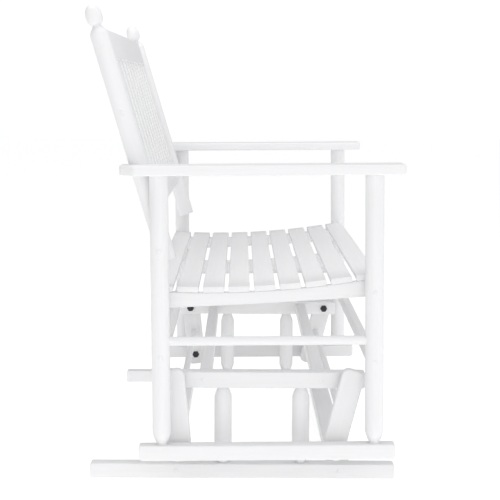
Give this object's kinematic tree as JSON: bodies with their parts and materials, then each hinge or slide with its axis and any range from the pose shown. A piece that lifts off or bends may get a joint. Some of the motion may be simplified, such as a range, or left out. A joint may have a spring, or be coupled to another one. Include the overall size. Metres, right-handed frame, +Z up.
{
  "type": "porch glider bench",
  "caption": "Painted wooden porch bench with a slatted seat and back that glides on swing links hung from a floor stand.",
  "frame": {"origin": "middle of the overall footprint, on the floor", "axes": "+X to the sitter's left along the bench, -Y to the front, +Z up"},
  "size_m": [1.24, 0.6408, 0.9763],
  "materials": {
    "painted_wood": "satin white paint on wood",
    "bolt_steel": "dark zinc plated steel"
  },
  "bodies": {
    "stand": {"floor_runner_left": "painted_wood", "floor_runner_right": "painted_wood", "base_rail_left": "painted_wood", "base_rail_right": "painted_wood", "base_spindle_front_left": "painted_wood", "base_spindle_front_right": "painted_wood", "base_spindle_rear_left": "painted_wood", "base_spindle_rear_right": "painted_wood", "upper_cross_bar_front": "painted_wood", "upper_cross_bar_rear": "painted_wood", "lower_cross_bar_front": "painted_wood", "lower_cross_bar_rear": "painted_wood"},
    "front_swing": {"swing_link_front_left": "painted_wood", "swing_link_front_right": "painted_wood", "swing_rod_front": "painted_wood"},
    "rear_swing": {"swing_link_rear_left": "painted_wood", "swing_link_rear_right": "painted_wood", "swing_rod_rear": "painted_wood"},
    "seat": {"seat_runner_left": "painted_wood", "seat_runner_right": "painted_wood", "front_post_left": "painted_wood", "front_post_right": "painted_wood", "rear_post_left": "painted_wood", "rear_post_right": "painted_wood", "side_rung_left": "painted_wood", "side_rung_right": "painted_wood", "front_stretcher": "painted_wood", "rear_stretcher": "painted_wood", "arm_left": "painted_wood", "arm_right": "painted_wood", "seat_side_rail_left": "painted_wood", "seat_side_rail_right": "painted_wood", "middle_seat_support": "painted_wood", "seat_slat_1": "painted_wood", "seat_slat_2": "painted_wood", "seat_slat_3": "painted_wood", "seat_slat_4": "painted_wood", "seat_slat_5": "painted_wood", "seat_slat_6": "painted_wood", "seat_slat_7": "painted_wood", "seat_slat_8": "painted_wood", "seat_slat_9": "painted_wood", "back_post_left": "painted_wood", "back_post_right": "painted_wood", "crest_rail": "painted_wood", "lower_back_rail": "painted_wood", "back_slat_1": "painted_wood", "back_slat_2": "painted_wood", "back_slat_3": "painted_wood", "back_slat_4": "painted_wood", "back_slat_5": "painted_wood", "back_slat_6": "painted_wood", "back_slat_7": "painted_wood", "back_slat_8": "painted_wood", "back_slat_9": "painted_wood", "back_slat_10": "painted_wood", "back_slat_11": "painted_wood", "back_slat_12": "painted_wood"}
  },
  "joints": [
    {"name": "rear_swing_pivot", "type": "hinge", "parent": "stand", "child": "rear_swing", "pos_m": [0.537, 0.14297, 0.2085], "axis": [1, 0, 0], "range_deg": [-20, 10]},
    {"name": "seat_pivot", "type": "hinge", "parent": "rear_swing", "child": "seat", "pos_m": [0.537, 0.12956, 0.07166], "axis": [1, 0, 0], "range_deg": [-12, 24]},
    {"name": "front_swing_pivot", "type": "hinge", "parent": "stand", "child": "front_swing", "pos_m": [0.537, -0.22203, 0.2085], "axis": [1, 0, 0], "range_deg": [-20.5, 10.5]}
  ],
  "couplings": [
    {"joint": "seat_pivot", "follows": "rear_swing_pivot", "ratio": -1.148},
    {"joint": "front_swing_pivot", "follows": "rear_swing_pivot", "ratio": 0.996}
  ]
}
